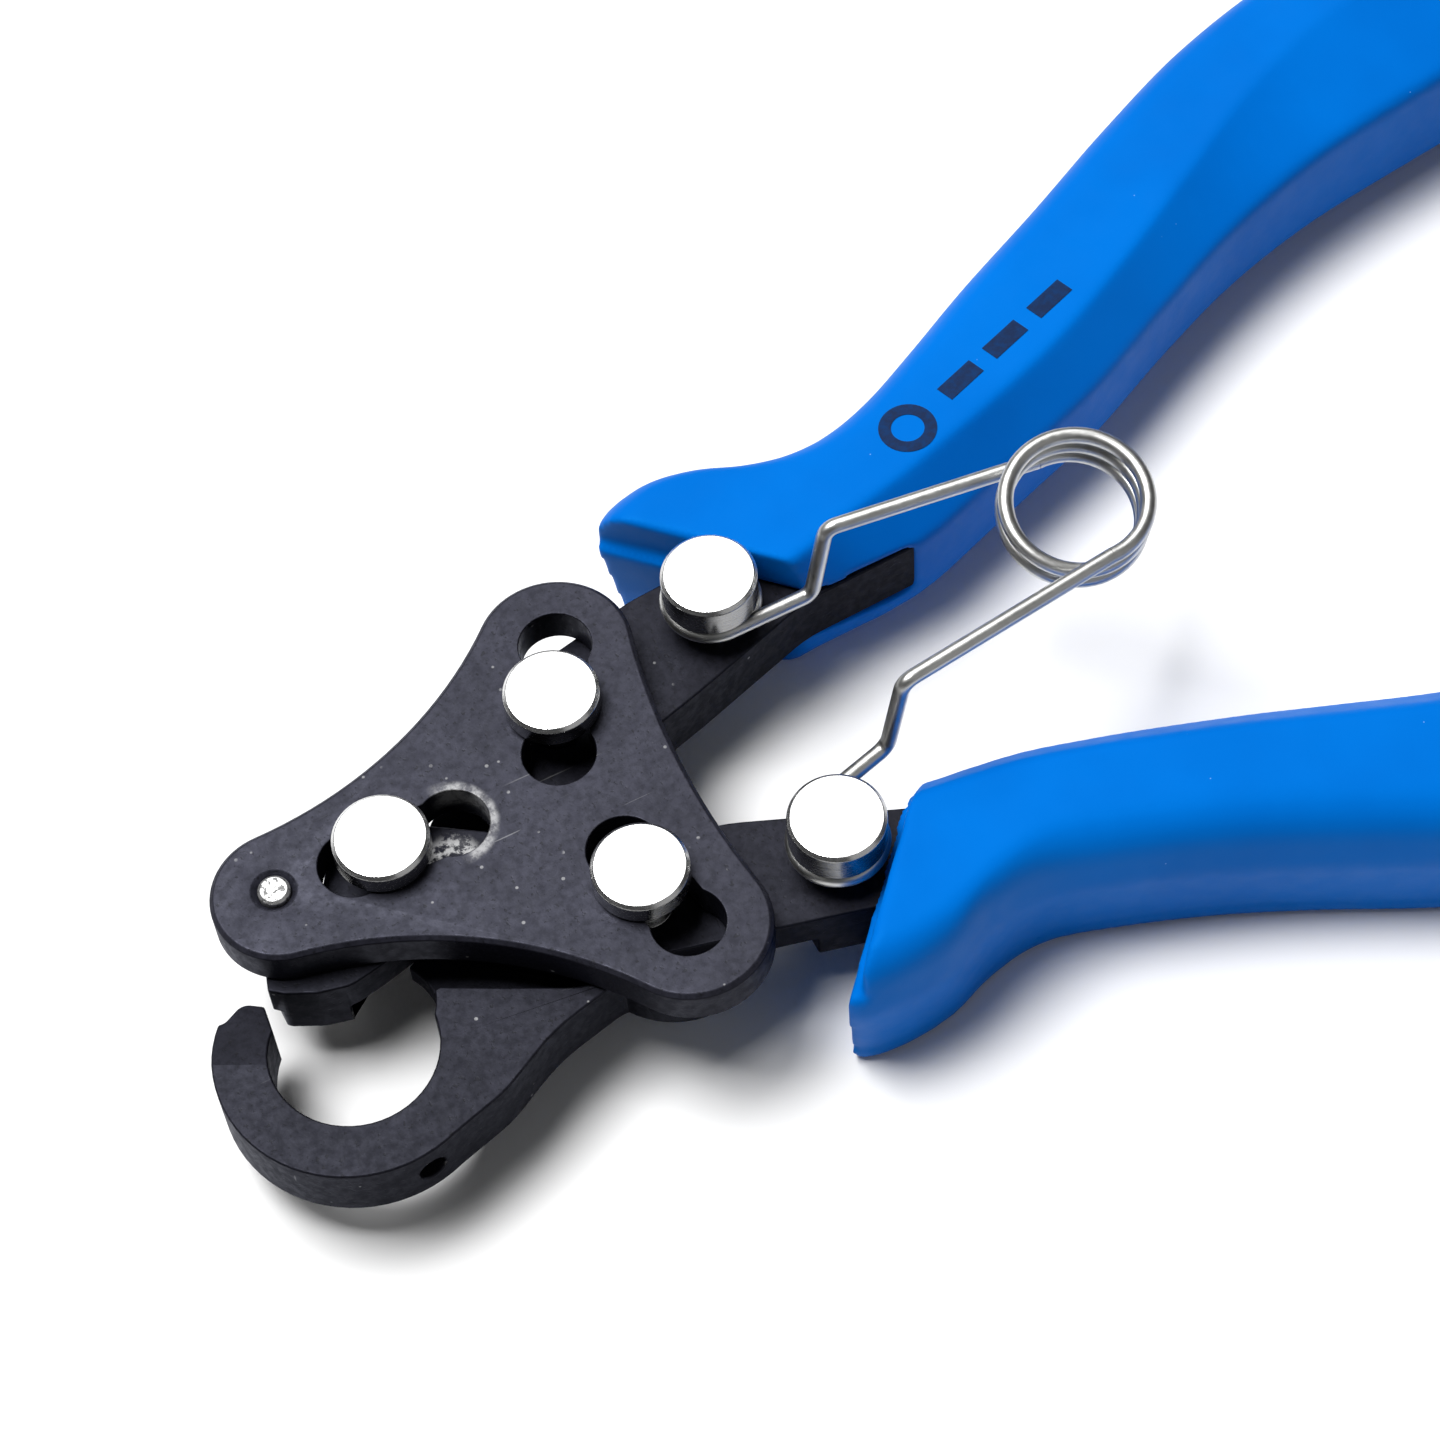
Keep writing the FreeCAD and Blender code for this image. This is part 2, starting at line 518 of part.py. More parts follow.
# ------------------------------------------------------------------ assembly
parts["ring_jaw_lever"] = ring_jaw_lever()
parts["anvil_jaw_lever"] = anvil_jaw_lever()
parts["guide_plate"] = guide_plate()
parts["mandrel_pin"] = mandrel_pin()
parts["pivot_pin"] = pivot_pin()
parts["pivot_washer"] = pivot_washer()
parts["top_guide_pin"] = headed_pin("TopGuidePin", "Sizes.top_pin_x", "Sizes.top_pin_y")
parts["nose_guide_pin"] = headed_pin("NoseGuidePin", "Sizes.nose_pin_x", "Sizes.nose_pin_y")
parts["upper_spring_post"] = spring_post("UpperPost", "Sizes.upper_post_x", "Sizes.upper_post_y")
parts["lower_spring_post"] = spring_post("LowerPost", "Sizes.lower_post_x", "Sizes.lower_post_y")
parts["return_spring"] = return_spring()
parts["upper_grip"] = upper_grip()
parts["lower_grip"] = lower_grip()
doc.recompute()

for item in doc.Objects:
    if "Invalid" in item.State or "Error" in item.State:
        raise RuntimeError(f"{item.Name} failed: {item.State}")
os.makedirs("parts", exist_ok=True)
for node, item in parts.items():
    item.Label = node
    if item.Shape.isNull() or not item.Shape.isValid():
        raise RuntimeError(f"{node} has no valid shape")
    item.Shape.exportStep(f"parts/{node}.step")
    box = item.Shape.BoundBox
    low = f"({box.XMin:.2f}, {box.YMin:.2f}, {box.ZMin:.2f})"
    high = f"({box.XMax:.2f}, {box.YMax:.2f}, {box.ZMax:.2f})"
    print(f"{node:20s} {item.Shape.Volume:9.1f} mm3, solids {len(item.Shape.Solids)}, {low} to {high}")
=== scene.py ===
"""Looks of the looping pliers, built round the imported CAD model: metres, the part's own frame."""

import json
import math

import bmesh
import bpy
from mathutils import Matrix, Vector
from mathutils.bvhtree import BVHTree


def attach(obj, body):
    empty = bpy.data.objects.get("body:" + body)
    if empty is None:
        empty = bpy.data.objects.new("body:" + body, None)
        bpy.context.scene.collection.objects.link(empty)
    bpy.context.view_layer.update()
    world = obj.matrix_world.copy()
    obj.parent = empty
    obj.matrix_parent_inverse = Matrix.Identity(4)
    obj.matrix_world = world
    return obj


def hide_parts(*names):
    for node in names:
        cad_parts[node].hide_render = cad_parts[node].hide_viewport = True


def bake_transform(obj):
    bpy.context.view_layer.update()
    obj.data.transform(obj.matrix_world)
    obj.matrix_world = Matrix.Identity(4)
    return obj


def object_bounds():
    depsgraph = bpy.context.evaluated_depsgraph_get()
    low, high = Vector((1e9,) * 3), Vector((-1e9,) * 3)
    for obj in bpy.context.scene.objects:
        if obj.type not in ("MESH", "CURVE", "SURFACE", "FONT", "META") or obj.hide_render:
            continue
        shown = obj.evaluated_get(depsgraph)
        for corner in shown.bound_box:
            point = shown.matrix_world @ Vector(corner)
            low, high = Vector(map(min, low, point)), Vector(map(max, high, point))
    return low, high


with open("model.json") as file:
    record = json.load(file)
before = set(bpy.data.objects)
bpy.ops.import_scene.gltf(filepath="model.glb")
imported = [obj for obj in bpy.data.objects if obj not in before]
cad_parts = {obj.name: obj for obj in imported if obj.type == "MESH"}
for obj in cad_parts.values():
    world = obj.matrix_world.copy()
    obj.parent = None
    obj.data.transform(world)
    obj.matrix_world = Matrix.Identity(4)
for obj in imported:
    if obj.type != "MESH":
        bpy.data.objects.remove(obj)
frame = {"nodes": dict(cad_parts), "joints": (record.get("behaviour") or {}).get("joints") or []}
cad_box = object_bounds()

MM = 0.001
# the pivot pin, in millimetres from the guide plate's centre
PIVOT = (1.5, -9.6)
hinge = next(joint for joint in frame["joints"] if joint["name"] == "handle_squeeze")
CENTRE = Vector((hinge["pos_m"][0] - PIVOT[0] * MM, hinge["pos_m"][1] - PIVOT[1] * MM, 0))
GROUND = cad_box[0][2]


def at(x, y, z):
    """A point given in millimetres from the guide plate's centre, as metres in the part's frame."""
    return CENTRE + Vector((x, y, z)) * MM


# ------------------------------------------------------------------ node helpers
class Nodes:
    """A material's node tree, with short calls for the nodes used here."""

    def __init__(self, name):
        self.material = bpy.data.materials.new(name)
        self.material.use_nodes = True
        self.tree = self.material.node_tree
        self.shader = self.tree.nodes["Principled BSDF"]
        self.place = self.tree.nodes.new("ShaderNodeTexCoord").outputs["Object"]

    def add(self, kind, **settings):
        node = self.tree.nodes.new(kind)
        for key, value in settings.items():
            setattr(node, key, value)
        return node

    def link(self, source, target):
        self.tree.links.new(source, target)

    def feed(self, socket, value):
        if isinstance(value, bpy.types.NodeSocket):
            self.link(value, socket)
        else:
            socket.default_value = value

    def stretched(self, scale, rotation=(0, 0, 0), location=(0, 0, 0)):
        node = self.add("ShaderNodeMapping")
        self.link(self.place, node.inputs["Vector"])
        node.inputs["Scale"].default_value = scale
        node.inputs["Rotation"].default_value = rotation
        node.inputs["Location"].default_value = location
        return node.outputs["Vector"]

    def noise(self, scale, detail=3.0, roughness=0.55, vector=None, distortion=0.0):
        node = self.add("ShaderNodeTexNoise")
        self.link(vector or self.place, node.inputs["Vector"])
        node.inputs["Scale"].default_value = scale
        node.inputs["Detail"].default_value = detail
        node.inputs["Roughness"].default_value = roughness
        node.inputs["Distortion"].default_value = distortion
        return node.outputs["Fac"]

    def cells(self, scale):
        node = self.add("ShaderNodeTexVoronoi")
        self.link(self.place, node.inputs["Vector"])
        node.inputs["Scale"].default_value = scale
        return node.outputs["Distance"]

    def ramp(self, value, low, high, start=0.0, end=1.0):
        node = self.add("ShaderNodeMapRange", interpolation_type="SMOOTHSTEP")
        self.link(value, node.inputs["Value"])
        node.inputs["From Min"].default_value = low
        node.inputs["From Max"].default_value = high
        node.inputs["To Min"].default_value = start
        node.inputs["To Max"].default_value = end
        return node.outputs["Result"]

    def math(self, operation, a, b=0.0):
        node = self.add("ShaderNodeMath", operation=operation)
        self.feed(node.inputs[0], a)
        self.feed(node.inputs[1], b)
        return node.outputs[0]

    def mix(self, factor, a, b):
        node = self.add("ShaderNodeMix", data_type="RGBA")
        self.feed(node.inputs["Factor"], factor)
        self.feed(node.inputs["A"], a)
        self.feed(node.inputs["B"], b)
        return node.outputs["Result"]

    def from_point(self, point):
        """Distance from a point, in metres."""
        node = self.add("ShaderNodeVectorMath", operation="DISTANCE")
        self.link(self.place, node.inputs[0])
        node.inputs[1].default_value = point
        return node.outputs["Value"]

    def axis(self, which):
        node = self.add("ShaderNodeSeparateXYZ")
        self.link(self.place, node.inputs[0])
        return node.outputs[which]

    def worn_edges(self, reach, low, high):
        """1 on sharp outer edges, 0 on flats: how far a rounded normal leans from the true one."""
        bevel = self.add("ShaderNodeBevel", samples=6)
        bevel.inputs["Radius"].default_value = reach
        normal = self.add("ShaderNodeNewGeometry").outputs["Normal"]
        dot = self.add("ShaderNodeVectorMath", operation="DOT_PRODUCT")
        self.link(bevel.outputs["Normal"], dot.inputs[0])
        self.link(normal, dot.inputs[1])
        return self.ramp(self.math("SUBTRACT", 1.0, dot.outputs["Value"]), low, high)

    def upward(self, low, high, start, end):
        """A ramp over how far the surface looks up: start on walls, end on level tops."""
        normal = self.add("ShaderNodeNewGeometry").outputs["Normal"]
        node = self.add("ShaderNodeSeparateXYZ")
        self.link(normal, node.inputs[0])
        return self.ramp(node.outputs["Z"], low, high, start, end)

    def bump(self, height, distance, strength=1.0):
        node = self.add("ShaderNodeBump")
        self.link(height, node.inputs["Height"])
        node.inputs["Distance"].default_value = distance
        node.inputs["Strength"].default_value = strength
        self.link(node.outputs["Normal"], self.shader.inputs["Normal"])


def grey(value, tint=0.0):
    """An opaque grey; tint makes it bluer."""
    return (value, value, value * (1 + tint), 1.0)


# ------------------------------------------------------------------ materials
def black_oxide(name, depth, gloss):
    """Blackened steel: depth is the brightness of its skin, gloss the strength of its sheen."""
    nodes = Nodes(name)
    shader = nodes.shader.inputs
    cloud = nodes.ramp(nodes.noise(260, 5, 0.6), 0.3, 0.72)
    mottle = nodes.ramp(nodes.noise(2100, 4, 0.7), 0.4, 0.66)
    base = nodes.mix(cloud, grey(depth, 0.5), grey(depth * 1.7, 0.45))
    base = nodes.mix(nodes.math("MULTIPLY", mottle, 0.6), base, grey(depth * 0.4, 0.5))
    # pores and pale specks of the tumbled surface
    pores = nodes.ramp(nodes.noise(2900, 2, 0.5), 0.63, 0.7)
    base = nodes.mix(nodes.math("MULTIPLY", pores, 0.75), base, grey(0.005, 0.1))
    specks = nodes.ramp(nodes.cells(620), 0.095, 0.06)
    thin = nodes.ramp(nodes.noise(330, 2), 0.49, 0.56)
    specks = nodes.math("MULTIPLY", specks, thin)
    # hair scratches, in two directions
    scratches = None
    for turn, shift in ((0.5, 0.0), (2.2, 0.013)):
        lines = nodes.stretched((70, 2600, 300), (0, 0, turn), (shift, shift, 0))
        hair = nodes.ramp(nodes.noise(1.0, 2, 0.5, lines, 0.35), 0.735, 0.76)
        scratches = hair if scratches is None else nodes.math("MAXIMUM", scratches, hair)
    scratches = nodes.math("MULTIPLY", scratches, nodes.ramp(nodes.noise(120, 2), 0.5, 0.62))
    # the coating is rubbed through on the edges, in patches
    edge = nodes.worn_edges(0.22 * MM, 0.05, 0.3)
    patches = nodes.ramp(nodes.noise(900, 4, 0.7), 0.46, 0.6)
    edge = nodes.math("MULTIPLY", edge, patches)
    # the left slot's inner end is burnished where the pin's head stops
    ring = nodes.from_point(at(-8.1, 0.2, 12.5))
    inside = nodes.ramp(ring, 2.45 * MM, 2.7 * MM)
    band = nodes.math("MULTIPLY", inside, nodes.ramp(ring, 3.5 * MM, 3.0 * MM))
    side = nodes.ramp(nodes.axis("X"), at(-8.6, 0, 0).x, at(-7.4, 0, 0).x)
    band = nodes.math("MULTIPLY", band, side)
    band = nodes.math("MULTIPLY", band, nodes.ramp(nodes.noise(1100, 4, 0.7), 0.36, 0.62, 0.15, 0.8))
    # and the lever is rubbed bright under that slot
    rub = nodes.ramp(nodes.from_point(at(-8.6, -0.6, 9.2)), 2.4 * MM, 1.2 * MM)
    rub = nodes.math("MULTIPLY", rub, nodes.ramp(nodes.noise(1400, 5, 0.75), 0.46, 0.56))
    wear = nodes.math("MAXIMUM", nodes.math("MULTIPLY", edge, 0.8), nodes.math("MULTIPLY", specks, 0.5))
    wear = nodes.math("MAXIMUM", wear, nodes.math("MULTIPLY", scratches, 0.28))
    wear = nodes.math("MAXIMUM", wear, nodes.math("MAXIMUM", band, rub))
    # painted shade: the walls, turned away from up, get a darker base colour than the level tops
    base = nodes.mix(nodes.upward(0.3, 0.8, 0.0, 1.0), grey(depth * 0.4, 0.6), base)
    colour = nodes.mix(wear, base, grey(0.3))
    nodes.link(colour, shader["Base Color"])
    shader["Metallic"].default_value = 0.35
    nodes.link(nodes.upward(0.3, 0.8, gloss * 0.25, gloss), shader["Specular IOR Level"])
    shader["Specular Tint"].default_value = (0.8, 0.83, 1.0, 1)
    rough = nodes.ramp(nodes.noise(1300, 3, 0.6), 0.3, 0.7, 0.4, 0.56)
    nodes.link(nodes.math("SUBTRACT", rough, nodes.math("MULTIPLY", wear, 0.15)), shader["Roughness"])
    grain = nodes.noise(2600, 4, 0.65)
    nodes.bump(nodes.math("SUBTRACT", grain, nodes.math("MULTIPLY", pores, 0.6)), 0.02 * MM, 0.5)
    return nodes.material


def polished_steel():
    nodes = Nodes("polished_steel")
    cloud = nodes.noise(700, 3)
    bright = nodes.mix(nodes.ramp(cloud, 0.35, 0.7), grey(0.8), grey(0.87))
    # painted shade: the walls, turned away from up, get a darker base colour than the bright ends
    colour = nodes.mix(nodes.upward(0.25, 0.9, 0.0, 1.0), grey(0.3), bright)
    nodes.link(colour, nodes.shader.inputs["Base Color"])
    nodes.shader.inputs["Metallic"].default_value = 1.0
    fine = nodes.noise(1.0, 3, 0.6, nodes.stretched((900, 900, 9000)))
    nodes.link(nodes.ramp(fine, 0.3, 0.7, 0.2, 0.3), nodes.shader.inputs["Roughness"])
    nodes.bump(fine, 0.004 * MM, 0.4)
    return nodes.material


def pin_end_steel():
    """The mandrel's end: bright but pitted."""
    nodes = Nodes("pitted_steel")
    pits = nodes.ramp(nodes.noise(2600, 3, 0.6), 0.52, 0.62)
    nodes.link(nodes.mix(pits, grey(0.5), grey(0.16)), nodes.shader.inputs["Base Color"])
    nodes.shader.inputs["Metallic"].default_value = 0.85
    nodes.link(nodes.ramp(pits, 0.0, 1.0, 0.42, 0.6), nodes.shader.inputs["Roughness"])
    nodes.bump(nodes.math("SUBTRACT", 1.0, pits), 0.03 * MM, 0.6)
    return nodes.material


def spring_steel():
    nodes = Nodes("spring_wire_steel")
    drawn = nodes.noise(2200, 2, 0.5)
    stain = nodes.ramp(nodes.noise(300, 3, 0.6), 0.45, 0.75)
    nodes.link(nodes.mix(stain, grey(0.56, -0.02), grey(0.44, -0.04)), nodes.shader.inputs["Base Color"])
    nodes.shader.inputs["Metallic"].default_value = 1.0
    nodes.link(nodes.ramp(drawn, 0.3, 0.7, 0.33, 0.4), nodes.shader.inputs["Roughness"])
    nodes.bump(drawn, 0.002 * MM, 0.3)
    return nodes.material


def blue_plastic():
    nodes = Nodes("blue_moulded_plastic")
    cloud = nodes.ramp(nodes.noise(70, 3), 0.3, 0.7)
    base = nodes.mix(cloud, (0.0, 0.118, 0.49, 1), (0.0, 0.134, 0.54, 1))
    dust = nodes.ramp(nodes.cells(900), 0.05, 0.02)
    dust = nodes.math("MULTIPLY", dust, nodes.ramp(nodes.noise(240, 2), 0.62, 0.66))
    base = nodes.mix(nodes.math("MULTIPLY", dust, 0.7), base, (0.35, 0.6, 0.95, 1))
    nodes.link(base, nodes.shader.inputs["Base Color"])
    fine = nodes.noise(3800, 3, 0.6)
    nodes.link(nodes.ramp(nodes.noise(500, 4), 0.3, 0.7, 0.43, 0.52), nodes.shader.inputs["Roughness"])
    nodes.shader.inputs["Specular IOR Level"].default_value = 0.12
    nodes.shader.inputs["Specular Tint"].default_value = (0.02, 0.5, 1.0, 1)
    nodes.bump(fine, 0.015 * MM, 0.45)
    return nodes.material


def printed_ink():
    nodes = Nodes("printed_ink")
    patch = nodes.ramp(nodes.noise(1800, 4, 0.7), 0.35, 0.7)
    ink = nodes.mix(patch, (0.0, 0.012, 0.055, 1), (0.0, 0.024, 0.10, 1))
    nodes.link(ink, nodes.shader.inputs["Base Color"])
    nodes.link(nodes.ramp(patch, 0, 1, 0.45, 0.6), nodes.shader.inputs["Roughness"])
    nodes.shader.inputs["Specular IOR Level"].default_value = 0.12
    return nodes.material


BLACK = black_oxide("black_oxide_steel", 0.015, 0.34)
FORGED = black_oxide("black_oxide_forging", 0.008, 0.2)
BRIGHT = polished_steel()
PITTED = pin_end_steel()
WIRE = spring_steel()
BLUE = blue_plastic()
INK = printed_ink()


# ------------------------------------------------------------------ mesh helpers
def new_object(name, mesh, material):
    piece = bpy.data.objects.new(name, mesh)
    bpy.context.scene.collection.objects.link(piece)
    piece.data.materials.clear()
    piece.data.materials.append(material)
    return piece


def settle(piece):
    """Turn the piece's modifiers into mesh."""
    bpy.context.view_layer.update()
    graph = bpy.context.evaluated_depsgraph_get()
    mesh = bpy.data.meshes.new_from_object(piece.evaluated_get(graph))
    piece.modifiers.clear()
    piece.data = mesh


def shade(piece, degrees):
    """Smooth shading, with edges sharper than the given angle kept crisp."""
    for polygon in piece.data.polygons:
        polygon.use_smooth = True
    piece.data.set_sharp_from_angle(angle=math.radians(degrees))


# steel: edges sharper than these angles, in degrees, are bevelled and shaded as edges
BEVEL_FROM = 32
SHARP_FROM = 34
# facets that meet at less than this angle are one face of the solid
SAME_FACE = 0.6


def soften(piece, width):
    """Round the piece's sharp edges by a real bevel."""
    modifier = piece.modifiers.new("edges", "BEVEL")
    modifier.width = width * MM
    modifier.segments = 2
    modifier.limit_method = "ANGLE"
    modifier.angle_limit = math.radians(BEVEL_FROM)
    modifier.use_clamp_overlap = False
    modifier.miter_outer = "MITER_ARC"
    modifier.harden_normals = True
    settle(piece)


def steel_piece(name, node, body, slot, material, edge):
    """A turned or ground piece: the CAD solid with its edges broken by a small bevel."""
    mesh = frame["nodes"][node].data.copy()
    work = bmesh.new()
    work.from_mesh(mesh)
    bmesh.ops.remove_doubles(work, verts=work.verts, dist=0.0005 * MM)
    bmesh.ops.dissolve_limit(work, angle_limit=math.radians(SAME_FACE), verts=work.verts, edges=work.edges)
    work.to_mesh(mesh)
    work.free()
    piece = new_object(name, mesh, material)
    shade(piece, SHARP_FROM)
    soften(piece, edge)
    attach(piece, body)
    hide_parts(node)
    return piece


# name, CAD node, body, slot, material, bevel in millimetres
STEEL = [
    ("ring_jaw_lever_steel", "ring_jaw_lever", "ring_side", "black_steel", FORGED, 0.16),
    ("anvil_jaw_lever_steel", "anvil_jaw_lever", "anvil_side", "black_steel", FORGED, 0.16),
    ("guide_plate_steel", "guide_plate", "plate", "black_steel", BLACK, 0.1),
    ("mandrel_pin_end", "mandrel_pin", "plate", "bright_pin", PITTED, 0.05),
    ("pivot_pin_head", "pivot_pin", "anvil_side", "bright_pin", BRIGHT, 0.06),
    ("pivot_washer_ring", "pivot_washer", "anvil_side", "bright_pin", BRIGHT, 0.08),
    ("top_guide_pin_head", "top_guide_pin", "ring_side", "bright_pin", BRIGHT, 0.06),
    ("nose_guide_pin_head", "nose_guide_pin", "anvil_side", "bright_pin", BRIGHT, 0.06),
    ("upper_spring_post_head", "upper_spring_post", "ring_side", "bright_pin", BRIGHT, 0.06),
    ("lower_spring_post_head", "lower_spring_post", "anvil_side", "bright_pin", BRIGHT, 0.06),
]
for row in STEEL:
    steel_piece(*row)


# ------------------------------------------------------------------ grips
def eased(points, samples):
    """Points along a smooth curve through the given tuples, equally many between each pair."""
    out = []
    count = len(points)
    for index in range(count - 1):
        p0 = Vector(points[max(index - 1, 0)])
        p1 = Vector(points[index])
        p2 = Vector(points[index + 1])
        p3 = Vector(points[min(index + 2, count - 1)])
        for step in range(samples):
            t = step / samples
            out.append(0.5 * ((2 * p1) + (p2 - p0) * t + (2 * p0 - 5 * p1 + 4 * p2 - p3) * t * t
                              + (3 * p1 - p0 - 3 * p2 + p3) * t * t * t))
    out.append(Vector(points[-1]))
    return out


def section(corners, steps=5):
    """A closed polygon of (u, z, radius) corners with every corner rounded by an arc of steps points."""
    loop = []
    count = len(corners)
    for index, (u, z, radius) in enumerate(corners):
        here = Vector((u, z))
        back = Vector(corners[index - 1][:2]) - here
        ahead = Vector(corners[(index + 1) % count][:2]) - here
        reach = min(back.length, ahead.length) * 0.49
        back.normalize()
        ahead.normalize()
        half = back.angle(ahead) / 2
        radius = min(radius, reach * math.tan(half))
        centre = here + (back + ahead).normalized() * (radius / math.sin(half))
        first = here + back * (radius / math.tan(half)) - centre
        last = here + ahead * (radius / math.tan(half)) - centre
        turn = first.angle_signed(last)
        for step in range(steps + 1):
            # angle_signed is clockwise, so the turn is taken backwards
            spin = Matrix.Rotation(-turn * step / steps, 2)
            loop.append(centre + spin @ first)
    return loop


def loft(name, stations, material, samples=6):
    """Skin a run of rounded sections.

    A station is (first plan point, last plan point, corners) in millimetres.
    A corner is (u, z, radius), where u is measured from the first point towards the last.
    """
    count = len(stations[0][2])
    firsts = eased([station[0] for station in stations], samples)
    lasts = eased([station[1] for station in stations], samples)
    corners = [eased([station[2][index] for station in stations], samples) for index in range(count)]
    work = bmesh.new()
    rings = []
    for index, (first, last) in enumerate(zip(firsts, lasts)):
        along = (last - first).normalized()
        ring = []
        for u, z in section([tuple(corner[index]) for corner in corners]):
            place = first + along * u
            ring.append(work.verts.new(at(place.x, place.y, z)))
        rings.append(ring)
    for here, there in zip(rings, rings[1:]):
        for index in range(len(here)):
            after = (index + 1) % len(here)
            work.faces.new((here[index], here[after], there[after], there[index]))
    work.faces.new(rings[0][::-1])
    work.faces.new(rings[-1])
    bmesh.ops.recalc_face_normals(work, faces=work.faces)
    mesh = bpy.data.meshes.new(name)
    work.to_mesh(mesh)
    work.free()
    return new_object(name, mesh, material)


def prism(corners, low, high):
    """A cutter: a plan polygon of (x, y) between two heights, in millimetres."""
    work = bmesh.new()
    base = [work.verts.new(at(x, y, low)) for x, y in corners]
    roof = [work.verts.new(at(x, y, high)) for x, y in corners]
    for index in range(len(corners)):
        after = (index + 1) % len(corners)
        work.faces.new((base[index], base[after], roof[after], roof[index]))
    work.faces.new(base[::-1])
    work.faces.new(roof)
    bmesh.ops.recalc_face_normals(work, faces=work.faces)
    mesh = bpy.data.meshes.new("cutter")
    work.to_mesh(mesh)
    work.free()
    cutter = bpy.data.objects.new("cutter", mesh)
    bpy.context.scene.collection.objects.link(cutter)
    return cutter


def carve(piece, cutter):
    """Cut the cutter out of the piece and remove the cutter."""
    modifier = piece.modifiers.new("carve", "BOOLEAN")
    modifier.operation = "DIFFERENCE"
    modifier.solver = "EXACT"
    modifier.object = cutter
    settle(piece)
    bpy.data.objects.remove(cutter)


def mould(piece):
    """Give the carved solid an even skin with every edge rounded, as a moulding has."""
    skin = piece.modifiers.new("skin", "REMESH")
    skin.mode = "VOXEL"
    skin.voxel_size = 0.33 * MM
    skin.use_smooth_shade = True
    relax = piece.modifiers.new("relax", "SMOOTH")
    relax.factor = 0.5
    relax.iterations = 6
    settle(piece)
    shade(piece, 75)


def span(first, last):
    return math.hypot(last[0] - first[0], last[1] - first[1])


# thickness of both grips, millimetres
HEIGHT = 13.0


def upper_station(first, last, crease, shoulder, foot, tuck=0.0):
    """Flat top, an inner facet that slopes from the crease down to the shoulder, and the same below.

    The outer wall draws in by tuck at its foot.
    """
    wide = span(first, last)
    corners = [
        (0.0, HEIGHT - 0.35, 2.6), (tuck, 0.3, 2.2), (wide * crease, 0.0, 2.0), (wide, foot, 1.4),
        (wide, shoulder, 1.1), (wide * crease, HEIGHT, 0.8),
    ]
    return (first, last, corners)


UPPER = [
    upper_station((10.3, 18.1), (21.7, 6.9), 0.93, 9.4, 2.4, 2.8),
    upper_station((11.35, 19.15), (22.9, 6.85), 0.91, 9.4, 2.4, 2.7),
    upper_station((13.1, 19.85), (24.6, 6.8), 0.88, 9.4, 2.4, 2.4),
    upper_station((15.7, 20.15), (26.4, 6.8), 0.84, 9.4, 2.4, 1.9),
    upper_station((18.8, 19.5), (28.2, 6.8), 0.79, 9.4, 2.4, 1.3),
    upper_station((22.0, 18.15), (29.8, 6.9), 0.74, 9.4, 2.5, 0.7),
    upper_station((25.5, 17.35), (31.6, 7.1), 0.69, 9.4, 2.6, 0.3),
    upper_station((29.0, 17.5), (34.0, 7.7), 0.67, 9.4, 2.8),
    upper_station((33.0, 18.8), (37.5, 8.9), 0.68, 9.4, 3.0),
    upper_station((37.8, 21.2), (42.5, 10.6), 0.71, 9.4, 3.2),
    upper_station((44.0, 24.5), (49.2, 13.0), 0.72, 9.5, 3.3),
    upper_station((51.9, 28.3), (57.0, 16.8), 0.70, 9.7, 3.1),
    upper_station((60.2, 32.5), (64.8, 20.2), 0.63, 10.2, 2.6),
    upper_station((69.3, 36.5), (73.0, 22.6), 0.51, 10.8, 2.1),
    upper_station((79.5, 39.2), (82.0, 24.1), 0.41, 11.1, 1.8),
    upper_station((92.0, 40.1), (93.0, 25.4), 0.40, 11.1, 1.8),
    upper_station((106.0, 38.9), (105.5, 25.7), 0.46, 11.0, 1.8),
    upper_station((115.5, 36.4), (115.0, 25.6), 0.50, 10.8, 2.0),
    upper_station((118.9, 34.4), (118.7, 26.8), 0.50, 10.4, 2.4),
    upper_station((119.9, 32.6), (119.8, 28.4), 0.50, 9.6, 3.2),
]


def lower_station(first, last, shoulder=8.0):
    """A narrow inner facet, a broad top, and an outer side that bulges above a moulded foot."""
    wide = span(first, last)
    corners = [
        (0.0, 10.4, 1.0), (0.0, 0.4, 1.8), (wide - 0.9, 0.0, 0.5), (wide - 0.65, 1.3, 0.3),
        (wide - 0.85, 1.5, 0.4), (wide, shoulder, 4.0), (wide - 1.1, HEIGHT + 0.2, 4.2),
        (min(2.3, wide * 0.35), HEIGHT - 0.1, 1.6),
    ]
    return (first, last, corners)


LOWER = [
    lower_station((20.3, -11.1), (9.9, -23.0)),
    lower_station((21.6, -10.75), (11.0, -23.7)),
    lower_station((23.6, -10.95), (13.9, -24.0)),
    lower_station((26.5, -11.3), (17.6, -23.5)),
    lower_station((29.5, -11.8), (21.3, -22.1)),
    lower_station((33.0, -12.75), (25.6, -21.5)),
    lower_station((37.8, -14.2), (30.8, -22.9)),
    lower_station((44.3, -16.4), (37.5, -25.4)),
    lower_station((50.0, -18.5), (43.8, -28.3)),
    lower_station((56.6, -20.9), (51.0, -31.9)),
    lower_station((66.0, -23.7), (61.5, -36.4)),
    lower_station((78.0, -26.1), (75.0, -40.2)),
    lower_station((92.0, -27.3), (91.0, -41.2)),
    lower_station((106.0, -27.3), (106.5, -40.2)),
    lower_station((115.3, -27.2), (116.0, -38.3)),
    lower_station((118.7, -28.2), (119.0, -36.6), 7.4),
    lower_station((119.8, -30.0), (119.9, -34.6), 6.8),
]

